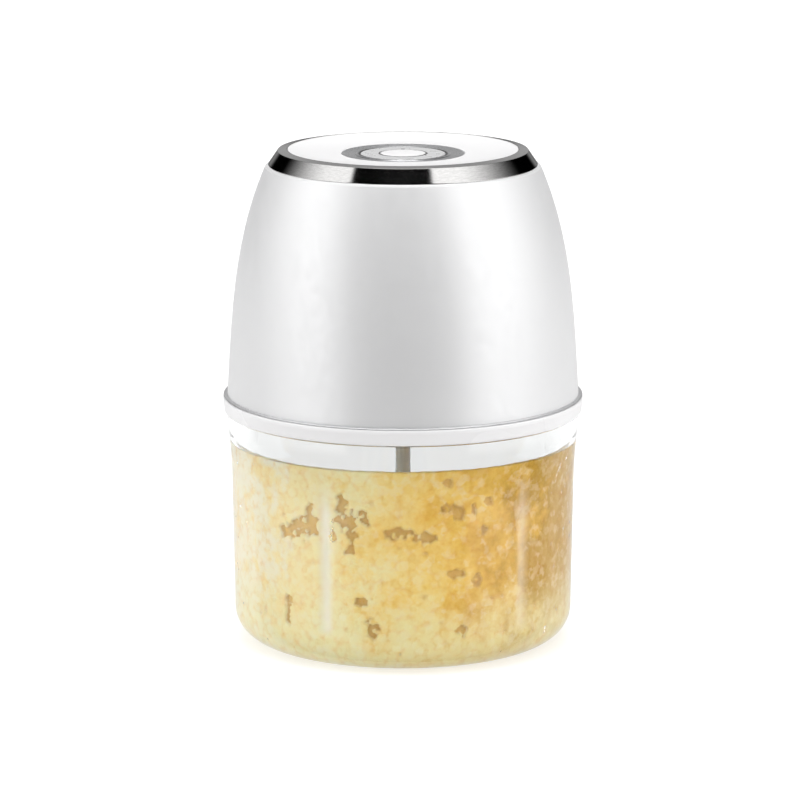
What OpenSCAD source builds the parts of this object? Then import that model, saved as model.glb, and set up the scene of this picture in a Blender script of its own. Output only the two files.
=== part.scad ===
// Cordless mini food processor: clear bowl, lid with a spinning blade assembly, and a lift-off motor unit.
// Millimetres, +Z up, origin at the centre of the bowl's underside. The front is -Y, the charging port faces +Y.

/* [Bowl] */
// Outer radius of the bowl above its rounded bottom corner
bowl_r = 41.4; // [41:0.1:41.6]
// Height of the shoulder that the lid rests on
bowl_h = 56.45; // [56:0.05:58]
// Radius of the bottom corner
bowl_corner_r = 7.7; // [6.5:0.1:8]
// Thickness of the bowl's wall
bowl_wall = 2; // [1.8:0.1:2.2]
// Number of upright ribs inside the bowl
rib_count = 5; // [3:1:6]

/* [Lid] */
// Outer radius of the lid's flange, the widest part of the object
flange_r = 44; // [43.9:0.1:44.5]
// Height of the flange
flange_h = 3.95; // [3.9:0.05:4.3]

/* [Blades] */
// Distance from the axis to a blade's tip
blade_r = 33.5; // [30:0.5:34]
// Thickness of the blade steel
blade_t = 1; // [0.8:0.1:1.2]
// Radius of the steel spindle
spindle_r = 1.9; // [1.9:0.05:2]

/* [Motor unit] */
// Outer radius of the housing at its bottom edge
housing_r = 42.95; // [42.7:0.05:43.1]
// Height of the housing from the trim ring at its foot to the trim ring at its top
housing_h = 56.35; // [56:0.05:58]
// How much the housing's side tapers in a straight line over that height
housing_taper = 3.1; // [2.6:0.1:3.4]
// How much more it rounds in towards the top
housing_round = 6.6; // [6.2:0.1:6.8]
// Thickness of the housing's wall
housing_wall = 2.2; // [1.8:0.1:2.4]
// Radius of the round button surround
bezel_r = 14.9; // [14.5:0.1:15.2]
// How far the power button travels
button_travel = 0.8; // [0.4:0.1:0.9]

/* [Hidden] */
$fn = 96;
fine = 72;
gap = 0.1;                       // between faces that rest on each other but part in use
run = 0.04;                      // radial clearance of a running fit

// Bowl
shoulder_z = bowl_h;
floor_t = 2.6;
foot_r = bowl_r - bowl_corner_r;
foot_ring_w = 3.7;
foot_recess = 0.8;
bowl_taper = 0.5;
neck_z = shoulder_z - 19.4;
neck_top_z = shoulder_z - 3.4;
neck_flare = 1;
rim_r = 42.2;
rim_in_r = 40.6;
rim_h = 2.3;
rib_w = 3.6;                     // degrees
rib_first = 44.8;                // degrees from the front, towards +X
rib_depth = 1.5;
boss_r = 4.6;
boss_z = 7;
pin_r = 2;
pin_low_z = 3.4;
pin_top_z = 20.4;

// Lid
lid_top = shoulder_z + flange_h;
skirt_in_r = rim_r + 0.15;
skirt_low_r = flange_r - 0.28;
plug_out_r = rim_in_r - 0.25;
plug_in_r = 38.2;
plate_t = 2;
plate_low_z = lid_top - plate_t;
lid_boss_r = 5.5;
lid_boss_low_z = shoulder_z - 8;
bush_r = 3.9;
bush_low_z = shoulder_z - 8.9;
bush_top_z = lid_top - 0.2;
gasket_z = shoulder_z + 0.35;
gasket_h = 1.3;

// Blade assembly
hub_low_z = boss_z + 0.3;
hub_top_z = 39;
hub_r = 5;
hub_collar_r = 6.2;
hub_bush_r = 3.2;
hub_bush_top_z = hub_low_z + 11.9;
spindle_low_z = 24;
hex_low_z = lid_top + 0.6;
hex_top_z = lid_top + 5.4;
hex_af = 3.2;
clip_r = 3;
clip_t = 0.5;
blade_root_r = 3.6;
blade_levels = [[9.8, -3, 0], [19.5, 0, 120], [29.5, 7, 240]];   // height, tilt and direction of each blade

// Motor unit, built up from the lid's top
unit_z = lid_top + gap;
seam_h = 0.25;
seam_r = flange_r - 0.1;
housing_z = unit_z + seam_h;
housing_top_z = housing_z + housing_h;
housing_round_power = 3.3;
housing_steps = 26;
housing_edge = 0.45;             // depth of the rounded edge under the top trim ring

ring_h = 3.5;
ring_top_r = 30.4;
ring_in_r = 28.1;
ring_slope = 0.36;
ring_skirt_r = 30;
ring_ledge_in_r = 26.8;
ring_top_z = housing_top_z + ring_h;
plate_r = ring_in_r - 0.1;
plate_edge_z = ring_top_z + ring_slope;
plate_dish = 1.1;                // how far the top plate falls towards the button
ledge_z = plate_edge_z - 1.7;

bezel_z = plate_edge_z - plate_dish;
bezel_in_r = 10.5;
button_r = bezel_in_r - 0.15;
button_z = bezel_z - 0.1;
button_flange_r = 11.8;
cap_r = 5.5;
stem_r = 2.2;
lens_y = cap_r + 0.8;
lens_r = 0.5;

board_z = bezel_z - 12;          // underside of the circuit board
board_t = 1.6;
board_top_z = board_z + board_t;
board_r = 22;
switch_h = 3.5;
plunger_r = 1.7;
plunger_top_z = board_top_z + switch_h + 1.5;
spring_r = 7.4;
spring_wire = 0.35;

cover_r = 40.4;
cover_t = 2.5;
cover_z = unit_z + gap;
cover_top_z = cover_z + cover_t;
coupling_r = 6.5;
coupling_z = unit_z + 0.8;
coupling_top_z = coupling_z + 9.9;
frame_z = coupling_top_z + 0.3;
frame_t = 2;
frame_top_z = frame_z + frame_t;
frame_r = 35;
frame_leg_r = 24;
motor_r = 12.2;
motor_can_h = 26.5;
motor_end_h = 3.6;
motor_top_z = frame_top_z + motor_can_h;
shaft_r = 1;
post_r = 36.8;                   // distance of the screw posts from the axis
post_angles = [30, 150, 270];
screw_r = 1.1;
board_post_r = 18.5;
board_post_angles = [0, 120, 240];
battery_x = -24;
battery_r = 9.1;
battery_h = 32.5;

interlock_y = 27.5;
interlock_pin_r = 1.6;
interlock_travel = 2;
interlock_box_z = cover_top_z + 6.3;

port_z = board_z - 1.75;
port_w = 9;
port_h = 3.2;
port_hole_clear = 0.45;
port_cover_w = 15;
port_cover_h = 9.4;
port_cover_t = 1.4;
port_hinge_z = port_z + 4.3;

// ---- shared shapes ----

function arc(x, y, r, from, to, steps) =
    [for (i = [0 : steps]) let (a = from + (to - from) * i / steps) [x + r * cos(a), y + r * sin(a)]];

function bowl_outer_r(z) =
    let (t = max(0, (z - neck_z) / (neck_top_z - neck_z)),
         rise = min(1, (z - bowl_corner_r) / (neck_z - bowl_corner_r)))
    bowl_r + bowl_taper * rise + neck_flare * min(1, t) * min(1, t);

function housing_outer_r(z) = let (u = max(0, z - housing_z) / housing_h)
    housing_r - housing_taper * u - housing_round * pow(u, housing_round_power);

ring_r = housing_outer_r(housing_top_z) - housing_edge;

module turned(points) rotate_extrude() polygon(points);

module tube(r_out, r_in, z_low, z_high) translate([0, 0, z_low]) difference() {
    cylinder(r = r_out, h = z_high - z_low);
    translate([0, 0, -1]) cylinder(r = r_in, h = z_high - z_low + 2);
}

module rod(r, z_low, z_high) translate([0, 0, z_low]) cylinder(r = r, h = z_high - z_low);

module around(radius, angles) for (a = angles) rotate([0, 0, a]) translate([radius, 0, 0]) children();

module box_between(low, high) translate(low) cube(high - low);

module screw(r, length, head_r, head_h) {
    cylinder(r = r, h = length);
    translate([0, 0, -head_h]) cylinder(r = head_r, h = head_h);
}

// A round bar swept along points. Each ring of the sweep is square to the path.
// Its sides start from the direction across, which no part of the path may point along.
function unit(v) = v / norm(v);
function tangent(p, i) = unit(p[min(i + 1, len(p) - 1)] - p[max(i - 1, 0)]);
function sweep_ring(p, i, r, sides, across) =
    let (t = tangent(p, i), u = unit(cross(t, across)), v = cross(t, u))
    [for (k = [0 : sides - 1]) let (a = 360 * k / sides) p[i] + r * (u * cos(a) + v * sin(a))];

module sweep(path, r, sides = 8, across = [0, 0, 1]) {
    n = len(path);
    polyhedron(
        points = [for (i = [0 : n - 1]) each sweep_ring(path, i, r, sides, across)],
        faces = [
            [for (k = [0 : sides - 1]) k],
            for (i = [0 : n - 2], k = [0 : sides - 1])
                let (a = i * sides + k, b = i * sides + (k + 1) % sides)
                    each [[a, a + sides, b + sides], [a, b + sides, b]],
            [for (k = [sides - 1 : -1 : 0]) (n - 1) * sides + k]
        ]);
}

function bezier(a, b, c, d, steps) = [for (i = [0 : steps]) let (t = i / steps, s = 1 - t)
    s * s * s * a + 3 * s * s * t * b + 3 * s * t * t * c + t * t * t * d];

function coil(r, z_low, z_high, turns, steps_a_turn) = [for (i = [0 : turns * steps_a_turn])
    let (a = 360 * i / steps_a_turn)
    [r * cos(a), r * sin(a), z_low + (z_high - z_low) * i / (turns * steps_a_turn)]];

// ---- bowl ----

module bowl() color("whitesmoke", 0.4) difference() {
    union() {
        turned(concat(
            [[0, foot_recess], [foot_r - foot_ring_w, foot_recess], [foot_r - foot_ring_w, 0]],
            arc(foot_r, bowl_corner_r, bowl_corner_r, -90, 0, 10),
            [for (i = [0 : 3]) let (z = bowl_corner_r + (neck_z - bowl_corner_r) * (i + 1) / 4) [bowl_outer_r(z), z]],
            [for (i = [1 : 8]) let (z = neck_z + (neck_top_z - neck_z) * i / 8) [bowl_outer_r(z), z]],
            [[bowl_outer_r(shoulder_z), shoulder_z], [rim_r, shoulder_z], [rim_r, shoulder_z + rim_h - 0.4],
             [rim_r - 0.4, shoulder_z + rim_h], [rim_in_r + 0.3, shoulder_z + rim_h],
             [rim_in_r, shoulder_z + rim_h - 0.4]],
            [for (i = [8 : -1 : 1]) let (z = neck_z + (neck_top_z - 3 - neck_z) * i / 8)
                [min(rim_in_r, bowl_outer_r(z) - bowl_wall), z]],
            [[bowl_outer_r(neck_z) - bowl_wall, neck_z]],
            arc(foot_r, floor_t + bowl_corner_r - bowl_wall, bowl_corner_r - bowl_wall, 0, -90, 8),
            [[boss_r, floor_t], [boss_r, boss_z - 0.4], [boss_r - 0.4, boss_z], [0, boss_z]]));
        for (k = [0 : rib_count - 1])
            rotate([0, 0, rib_first - 90 - rib_w / 2 + k * 360 / rib_count]) rotate_extrude(angle = rib_w)
                polygon([[bowl_r - bowl_wall - rib_depth, bowl_corner_r + 1], [bowl_r - 1, bowl_corner_r + 1],
                    [bowl_r - 1, shoulder_z - 9], [bowl_r - bowl_wall, shoulder_z - 9],
                    [bowl_r - bowl_wall - rib_depth, shoulder_z - 13]]);
    }
    rod(pin_r, pin_low_z, boss_z + 1);
}

module pivot_pin() color("silver") {
    rod(pin_r, pin_low_z, pin_top_z - 0.5);
    translate([0, 0, pin_top_z - 0.5]) cylinder(r1 = pin_r, r2 = pin_r - 0.5, h = 0.5);
}

// ---- lid ----

module lid() color("white") turned(concat(
    [[bush_r, lid_boss_low_z], [lid_boss_r - 0.5, lid_boss_low_z], [lid_boss_r, lid_boss_low_z + 0.5],
     [lid_boss_r, plate_low_z], [plug_in_r, plate_low_z], [plug_in_r, shoulder_z + 0.1],
     [plug_out_r, shoulder_z + 0.1], [plug_out_r, gasket_z],
     [plug_out_r - 1.1, gasket_z], [plug_out_r - 1.1, gasket_z + gasket_h], [plug_out_r, gasket_z + gasket_h],
     [plug_out_r, shoulder_z + rim_h + 0.25], [skirt_in_r, shoulder_z + rim_h + 0.25], [skirt_in_r, shoulder_z],
     [skirt_low_r - 0.3, shoulder_z], [skirt_low_r, shoulder_z + 0.3]],
    [for (i = [1 : 6]) let (t = i / 6)
        [skirt_low_r + (flange_r - skirt_low_r) * sin(90 * t), shoulder_z + 0.3 + (flange_h - 0.7) * t]],
    arc(flange_r - 0.4, lid_top - 0.4, 0.4, 15, 90, 4),
    [[12, lid_top], [11, lid_top - 0.6], [bush_r, lid_top - 0.6]]));

module lid_gasket() color("gainsboro") turned([
    [plug_out_r - 1.1, gasket_z], [plug_out_r - 0.2, gasket_z], [rim_in_r - 0.08, gasket_z + 0.4],
    [rim_in_r - 0.08, gasket_z + 0.75], [plug_out_r - 0.2, gasket_z + gasket_h], [plug_out_r - 1.1, gasket_z + gasket_h]]);

// The bush's lower end is recessed for the clip.
module lid_bush() color("dimgray") difference() {
    rod(bush_r, bush_low_z, bush_top_z - 0.6);
    rod(spindle_r + run, bush_low_z - 1, bush_top_z + 1);
    rod(clip_r + 0.2, bush_low_z - 1, bush_low_z + 0.9);
}

// ---- blade assembly ----

// A blade's outline, from its root in the hub to its tip, curving back along the way that it turns.
function blade_centre(s) = let (r = blade_root_r + (blade_r - blade_root_r) * s, a = 30 * s * s)
    [r * cos(a), r * sin(a)];
function blade_half_width(s) = 4.6 - 1.4 * s - 3 * pow(s, 7);
function blade_side(s, side) =
    let (d = unit(blade_centre(min(1, s + 0.01)) - blade_centre(max(0, s - 0.01))))
    blade_centre(s) + side * blade_half_width(s) * [-d.y, d.x];
blade_steps = 14;

module blade(level) translate([0, 0, level[0]]) rotate([0, 0, level[2]]) rotate([0, -level[1], 0])
    translate([0, 0, -blade_t / 2]) linear_extrude(blade_t) polygon(concat(
        [for (i = [0 : blade_steps]) blade_side(i / blade_steps, -1)],
        [for (i = [blade_steps : -1 : 0]) blade_side(i / blade_steps, 1)]));

module lower_blade() color("silver") blade_in_hub(0);
module middle_blade() color("silver") blade_in_hub(1);
module upper_blade() color("silver") blade_in_hub(2);

// The spindle and the hub's bush pass clear of each blade's root.
module blade_in_hub(i) difference() {
    blade(blade_levels[i]);
    rod(hub_bush_r + 0.4, hub_low_z - 1, hub_top_z);
}

module blade_hub() color("lightgray") difference() {
    turned([[0, hub_low_z], [hub_collar_r, hub_low_z], [hub_collar_r, hub_low_z + 4.6], [hub_r, hub_low_z + 6],
        [hub_r, hub_top_z - 4], [hub_r - 1.2, hub_top_z - 0.6], [hub_r - 1.8, hub_top_z], [0, hub_top_z]]);
    rod(hub_bush_r, hub_low_z - 1, pin_top_z + 0.2);
    rod(spindle_r, spindle_low_z, hub_top_z + 1);
    for (i = [0 : 2]) blade_in_hub(i);
}

module hub_bush() color("goldenrod") tube(hub_bush_r, pin_r + run, hub_low_z + 0.1, hub_bush_top_z);

module drive_spindle() color("silver") {
    rod(spindle_r, spindle_low_z, hex_low_z - 0.4);
    translate([0, 0, hex_low_z - 0.4]) cylinder(r1 = spindle_r, r2 = hex_af / 2, h = 0.4);
    translate([0, 0, hex_low_z]) cylinder(r = hex_af / sqrt(3), h = hex_top_z - hex_low_z, $fn = 6);
}

// A clip in the lower end of the lid's bush and one over its top hold the spindle in the lid.
module spindle_clip() color("silver") {
    tube(clip_r, spindle_r, bush_low_z + 0.25, bush_low_z + 0.25 + clip_t);
    tube(clip_r, spindle_r, bush_top_z - 0.5, bush_top_z - 0.5 + clip_t);
}

// ---- motor unit: outside ----

function housing_curve(offset, z_low, z_high, steps) =
    [for (i = [0 : steps]) let (z = z_low + (z_high - z_low) * i / steps) [housing_outer_r(z) + offset, z]];

function reversed(list) = [for (i = [len(list) - 1 : -1 : 0]) list[i]];

module housing_shell(outset, inset, z_low, z_high, steps = 8) turned(concat(
    housing_curve(outset, z_low, z_high, steps), reversed(housing_curve(-inset, z_low, z_high, steps))));

module port_pocket(clear) box_between(
    [-port_cover_w / 2 - clear, 0, port_hinge_z + 0.75 - port_cover_h - clear],
    [port_cover_w / 2 + clear, 50, port_hinge_z + (clear > 0 ? 0.95 : 0)]);

hinge_y = housing_outer_r(port_hinge_z) - 0.75;

module housing() color("white") difference() {
    union() {
        turned(concat(
            housing_curve(0, housing_z, housing_top_z - housing_edge, housing_steps),
            arc(ring_r, housing_top_z - housing_edge, housing_edge, 10, 90, 5),
            [[ring_skirt_r + 0.6, housing_top_z], [ring_skirt_r + 0.6, housing_top_z - 2.4]],
            reversed(housing_curve(-housing_wall, housing_z, housing_top_z - 3, housing_steps))));
        intersection() {
            housing_shell(-1, housing_wall + 1.4, port_z - 9, port_z + 7.5);
            box_between([-10, 20, port_z - 9], [10, 45, port_z + 7.5]);
        }
        intersection() {
            around(post_r, post_angles) {
                rod(3, cover_top_z, cover_top_z + 16);
                box_between([0, -1, cover_top_z], [6, 1, cover_top_z + 16]);
            }
            rod(housing_r - housing_wall + 0.5, cover_top_z, cover_top_z + 16);
        }
    }
    intersection() {
        housing_shell(2, port_cover_t + 0.15, port_z - 8, port_z + 8);
        port_pocket(0.15);
    }
    box_between([-port_w / 2 - port_hole_clear, 20, port_z - port_h / 2 - port_hole_clear],
        [port_w / 2 + port_hole_clear, 45, port_z + port_h / 2 + port_hole_clear]);
    translate([-port_cover_w / 2 - 1.2, hinge_y, port_hinge_z]) rotate([0, 90, 0])
        cylinder(r = 0.35, h = port_cover_w + 2.4);
    translate([-port_cover_w / 2 - 0.15, hinge_y, port_hinge_z]) rotate([0, 90, 0])
        cylinder(r = 0.95, h = port_cover_w + 0.3);
    around(post_r, post_angles) rod(screw_r, cover_top_z - 1, cover_top_z + 8);
}

module seam_ring() color("silver") turned(concat(
    [[cover_r + 0.2, unit_z], [seam_r - 0.06, unit_z], [seam_r, unit_z + 0.06]],
    arc(seam_r - seam_h + 0.1, unit_z + 0.1, seam_h - 0.1, 0, 90, 6), [[cover_r + 0.2, unit_z + seam_h]]));

module trim_ring() color("silver") turned([
    [ring_r, housing_top_z], [ring_top_r, ring_top_z], [ring_in_r, plate_edge_z],
    [ring_in_r, ledge_z], [ring_ledge_in_r, ledge_z], [ring_ledge_in_r, housing_top_z - 4],
    [ring_skirt_r - 0.4, housing_top_z - 4], [ring_skirt_r, housing_top_z - 3.6], [ring_skirt_r, housing_top_z]]);

module top_plate() color("white") turned(concat(
    [[plate_r, plate_edge_z - 0.2], [plate_r - 0.2, plate_edge_z]],
    [for (i = [1 : 8]) let (t = i / 8) [plate_r - (plate_r - bezel_r - 0.05) * t, plate_edge_z - plate_dish * t * (2 - t)]],
    [[bezel_r + 0.05, bezel_z - 3.6], [bezel_r + 1.4, bezel_z - 3.6], [bezel_r + 1.8, bezel_z - 1.5],
     [ring_ledge_in_r - 0.1, ledge_z - 0.3], [ring_ledge_in_r - 0.1, ledge_z + 0.05], [plate_r, ledge_z + 0.05]]));

module button_bezel() color("darkgray") turned([
    [bezel_in_r, bezel_z - 0.35], [bezel_in_r + 0.3, bezel_z - 0.15], [bezel_in_r + 1.2, bezel_z - 0.15],
    [bezel_in_r + 1.5, bezel_z - 0.3], [bezel_r - 0.5, bezel_z - 0.1], [bezel_r, bezel_z],
    [bezel_r, bezel_z - 3.6], [bezel_r - 2, bezel_z - 3.6], [bezel_r - 2, bezel_z - 2.2], [bezel_in_r, bezel_z - 2.2]]);

module base_cover() color("gainsboro") difference() {
    union() {
        rod(cover_r, cover_z, cover_top_z);
        tube(11, 9, cover_top_z - 0.1, cover_top_z + 1.5);
    }
    rod(9, cover_z - 1, cover_top_z + 3);
    around(post_r, post_angles) {
        rod(screw_r + 0.15, cover_z - 1, cover_top_z + 1);
        rod(2.3, cover_z - 1, cover_z + 1.5);
    }
    translate([0, interlock_y, 0]) rod(interlock_pin_r + run, cover_z - 1, cover_top_z + 1);
}

module base_screws() color("silver") around(post_r, post_angles) difference() {
    translate([0, 0, cover_z + 1.5]) screw(screw_r, 8, 2.1, 1.2);
    translate([0, 0, cover_z + 0.2]) box_between([-1.5, -0.25, 0], [1.5, 0.25, 0.5]);
    translate([0, 0, cover_z + 0.2]) box_between([-0.25, -1.5, 0], [0.25, 1.5, 0.5]);
}

// ---- motor unit: inside ----

module motor_frame() color("slategray") difference() {
    union() {
        rod(frame_r, frame_z, frame_top_z);
        tube(motor_r + 1.7, motor_r + 0.05, frame_top_z - 0.1, frame_top_z + 9);
        around(frame_leg_r, [0, 120, 240]) rod(2.6, cover_top_z, frame_z + 0.1);
        translate([battery_x, 0, 0]) rod(battery_r + 1.2, frame_top_z - 0.1, frame_top_z + 5);
        around(board_post_r, board_post_angles) rod(2.4, frame_top_z - 0.1, board_z);
    }
    rod(3.1, frame_z - 1, frame_top_z + 1);
    rod(motor_r + 0.05, frame_top_z, frame_top_z + 10);
    translate([battery_x, 0, 0]) rod(battery_r + 0.05, frame_top_z + 0.4, frame_top_z + 6);
    around(8, [0, 180]) rod(screw_r + 0.1, frame_z - 1, frame_top_z + 1);
    around(board_post_r, board_post_angles) rod(screw_r, board_z - 6, board_z + 1);
    around(post_r, post_angles) rod(3.5, frame_z - 1, frame_top_z + 1);
    box_between([-7.2, interlock_y - 3.8, frame_z - 1], [7.2, interlock_y + 9, frame_top_z + 1]);
}

module motor_can() color("silver") difference() {
    union() {
        rod(motor_r, frame_top_z, motor_top_z);
        rod(3, frame_z + 0.3, frame_top_z + 0.1);
    }
    rod(motor_r - 0.8, frame_top_z + 0.8, motor_top_z + 1);
    rod(2.4, frame_z - 1, frame_top_z + 1);
    around(8, [0, 180]) rod(screw_r, frame_top_z - 1, frame_top_z + 2);
}

module motor_end_cap() color("white") difference() {
    union() {
        rod(motor_r, motor_top_z, motor_top_z + 1.6);
        rod(motor_r - 0.85, motor_top_z - 2, motor_top_z + 0.1);
        rod(4.2, motor_top_z + 1.5, motor_top_z + motor_end_h);
    }
    rod(motor_r - 2.2, motor_top_z - 3, motor_top_z - 0.4);
    rod(2.4, motor_top_z - 3, motor_top_z + 2.6);
    around(9.5, [0, 180]) box_between([-0.4, -1.2, motor_top_z - 3], [0.4, 1.2, motor_top_z + 5]);
}

module motor_magnets() color("darkslategray") for (a = [20, 200]) rotate([0, 0, a])
    translate([0, 0, frame_top_z + 3]) rotate_extrude(angle = 140) translate([9.3, 0]) square([motor_r - 0.83 - 9.3, 19]);

module motor_bushes() color("goldenrod") {
    tube(2.4, shaft_r + run, frame_z + 0.4, frame_top_z + 0.9);
    tube(2.4, shaft_r + run, motor_top_z - 0.3, motor_top_z + 2.5);
}

module motor_screws() color("silver") around(8, [0, 180]) translate([0, 0, frame_z])
    screw(screw_r, frame_t + 0.8, 2, 0.25);

module motor_shaft() color("silver") rod(shaft_r, coupling_z + 4.9, motor_top_z + 2.4);

// Three-pole laminated core with a winding round each pole.
module motor_armature() color("dimgray") translate([0, 0, frame_top_z + 5]) difference() {
    linear_extrude(14) union() {
        circle(r = 3.2);
        for (a = [0 : 120 : 240]) rotate([0, 0, a]) {
            translate([0, -1.2]) square([7.4, 2.4]);
            intersection() {
                difference() {
                    circle(r = 8.7);
                    circle(r = 7.2);
                }
                polygon([[0, 0], [12, -12 * tan(52)], [12, 12 * tan(52)]]);
            }
        }
    }
    translate([0, 0, -1]) cylinder(r = shaft_r, h = 16);
}

module armature_windings() color("peru") translate([0, 0, frame_top_z + 3.8])
    for (a = [0 : 120 : 240]) rotate([0, 0, a]) difference() {
        translate([3.6, -2.6, 0]) cube([3, 5.2, 16.4]);
        translate([0, -1.2, 1.2]) cube([12, 2.4, 14]);
    }

module commutator() color("peru") difference() {
    tube(3, shaft_r, frame_top_z + 20.6, frame_top_z + 25.4);
    for (a = [60 : 120 : 300]) rotate([0, 0, a]) box_between([2.2, -0.2, frame_top_z + 21.6], [4, 0.2, frame_top_z + 26]);
}

// A hexagonal socket below takes the spindle. The motor's shaft is pressed in above.
module drive_coupling() color("gainsboro") difference() {
    union() {
        rod(coupling_r, coupling_z, coupling_top_z - 3);
        rod(coupling_r - 2, coupling_z, coupling_top_z);
    }
    translate([0, 0, coupling_z - 1]) cylinder(r = (hex_af + 0.3) / sqrt(3), h = 5.7, $fn = 6);
    translate([0, 0, coupling_z - 0.01]) cylinder(r1 = 3.2, r2 = 2, h = 0.8);
    rod(shaft_r, coupling_z + 4.9, coupling_top_z + 1);
    around(coupling_r, [0 : 60 : 300]) rod(0.9, coupling_z - 1, coupling_top_z - 3.8);
}

module battery() color("seagreen") translate([battery_x, 0, frame_top_z + 0.4]) {
    cylinder(r = battery_r, h = battery_h - 0.8);
    translate([0, 0, battery_h - 0.9]) cylinder(r = 3.4, h = 0.9);
}

module battery_tabs() color("silver") translate([battery_x, 0, frame_top_z + 0.4 + battery_h])
    box_between([-3, -8, 0], [3, 8, 0.2]);

module circuit_board() color("darkgreen") difference() {
    union() {
        rod(board_r, board_z, board_top_z);
        box_between([-7, 0, board_z], [7, 29, board_top_z]);
    }
    around(board_post_r, board_post_angles) rod(screw_r + 0.15, board_z - 1, board_top_z + 1);
}

module board_screws() color("silver") around(board_post_r, board_post_angles)
    translate([0, 0, board_top_z]) mirror([0, 0, 1]) screw(screw_r, 6.5, 1.9, 1.1);

module board_components() color("dimgray") {
    translate([10, -7, board_top_z]) cube([5, 6, 1.6]);
    translate([-17, -4, board_top_z]) cube([6, 8, 1.2]);
    translate([10, 8, board_top_z]) cube([3.2, 5, 1]);
    translate([-13, 9, board_top_z]) cylinder(r = 2.6, h = 2.4);
    translate([-5, -16, board_top_z]) cube([10, 4, 1.4]);
    for (x = [-12, -9, 12]) translate([x, -12.5, board_top_z]) cube([1.2, 2, 0.7]);
}

module power_switch() color("black") difference() {
    box_between([-3, -3, board_top_z], [3, 3, board_top_z + switch_h]);
    rod(plunger_r + 0.05, board_top_z + 1, board_top_z + switch_h + 1);
}

module switch_plunger() color("white") rod(plunger_r, board_top_z + 2.2, plunger_top_z);

// The shell of a Type-C socket, open towards +Y, with its tongue.
module rounded_slot(w, h, depth) rotate([-90, 0, 0]) linear_extrude(depth) union() {
    square([w - h, h], center = true);
    for (s = [-1, 1]) translate([s * (w - h) / 2, 0]) circle(r = h / 2);
}

module charge_socket() color("silver") translate([0, 27.3, port_z]) {
    difference() {
        rounded_slot(port_w, port_h, 7.3);
        translate([0, 1.4, 0]) rounded_slot(port_w - 0.7, port_h - 0.7, 7);
    }
    translate([-3.3, 1.2, -0.35]) cube([6.6, 4.6, 0.7]);
}

module interlock_switch() color("dimgray") difference() {
    translate([-6.4, interlock_y - 2.9, interlock_box_z]) cube([12.8, 5.8, 6.5]);
    translate([0, interlock_y, 0]) rod(1.3, interlock_box_z - 1, interlock_box_z + 4.5);
}

module interlock_pin() color("white") translate([0, interlock_y, 0]) {
    rod(interlock_pin_r, unit_z, cover_top_z + 2.2);
    rod(2.5, cover_top_z + 2.1, cover_top_z + 2.9);
    rod(1.2, cover_top_z + 2.8, interlock_box_z + 1.5);
}

module interlock_spring() color("silver") translate([0, interlock_y, 0])
    sweep(coil(1.95, cover_top_z + 3.1, interlock_box_z - 0.2, 4, 16), 0.2, 6);

// ---- button ----

module power_button() color("lightgray") difference() {
    union() {
        turned([[0, button_z - 3.4], [button_flange_r, button_z - 3.4], [button_flange_r, button_z - 2.2],
            [button_r, button_z - 2.2], [button_r, button_z - 0.3], [button_r - 0.3, button_z], [0, button_z]]);
        rod(stem_r, plunger_top_z, button_z - 3.3);
    }
    rod(cap_r + 0.15, button_z - 0.6, button_z + 1);
    translate([0, lens_y, 0]) rod(lens_r, button_z - 2, button_z + 1);
}

module button_cap() color("white") turned([
    [0, button_z - 0.6], [cap_r, button_z - 0.6], [cap_r, button_z - 0.05], [cap_r - 0.25, button_z + 0.1], [0, button_z + 0.2]]);

module indicator_lens() color("lightblue") translate([0, lens_y, 0]) rod(lens_r, button_z - 2, button_z + 0.05);

module button_spring() color("silver") sweep(
    coil(spring_r, board_top_z + spring_wire, button_z - 3.4 - spring_wire, 3, 28), spring_wire, 6);

// ---- charging port cover ----

module port_cover() color("gainsboro") difference() {
    union() {
        intersection() {
            housing_shell(0, port_cover_t, port_z - 8, port_z + 8);
            box_between([-port_cover_w / 2 + 0.1, 0, port_hinge_z + 0.75 - port_cover_h],
                [port_cover_w / 2 - 0.1, 50, port_hinge_z]);
        }
        translate([-port_cover_w / 2 + 0.1, hinge_y, port_hinge_z]) rotate([0, 90, 0])
            cylinder(r = 0.75, h = port_cover_w - 0.2);
        box_between([-3.3, housing_outer_r(port_z) - 3, port_z - 1], [3.3, housing_outer_r(port_z) - 0.8, port_z + 1]);
        box_between([-2.5, housing_outer_r(port_hinge_z - 8.2) - 0.7, port_hinge_z - 8.2],
            [2.5, housing_outer_r(port_hinge_z - 8.2) + 0.3, port_hinge_z - 7.4]);
    }
    translate([-10, hinge_y, port_hinge_z]) rotate([0, 90, 0]) cylinder(r = 0.35 + run, h = 20);
}

module cover_hinge_pin() color("silver") translate([-port_cover_w / 2 - 1.2, hinge_y, port_hinge_z])
    rotate([0, 90, 0]) cylinder(r = 0.35, h = port_cover_w + 2.4);

// ---- wiring ----

lead_r = 0.6;
motor_tag_z = motor_top_z + 2.2;
tab_lead_z = frame_top_z + 0.4 + battery_h + 0.3 + lead_r;
board_lead_z = board_z - 0.4;

module leads_red() color("red") {
    sweep(bezier([9.5, 1.3, motor_tag_z], [9.5, 3, motor_tag_z + 1], [9, 10, board_lead_z - 5],
        [9, 10, board_lead_z], 14), lead_r, across = [1, 0, 0]);
    sweep(bezier([battery_x + 1, -7, tab_lead_z], [battery_x + 3, -11, tab_lead_z - 0.4],
        [-14, -12.5, board_lead_z - 5], [-13.5, -12, board_lead_z], 14), lead_r, across = [1, 0, 0]);
}

module leads_black() color("black") {
    sweep(bezier([-9.5, 1.3, motor_tag_z], [-9.5, 3, motor_tag_z + 1], [-9, 10, board_lead_z - 5],
        [-9, 10, board_lead_z], 14), lead_r, across = [1, 0, 0]);
    sweep(bezier([battery_x + 1, 7, tab_lead_z], [battery_x + 3, 11, tab_lead_z - 0.4],
        [-14, 12.5, board_lead_z - 5], [-13.5, 12, board_lead_z], 14), lead_r, across = [1, 0, 0]);
}

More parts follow.
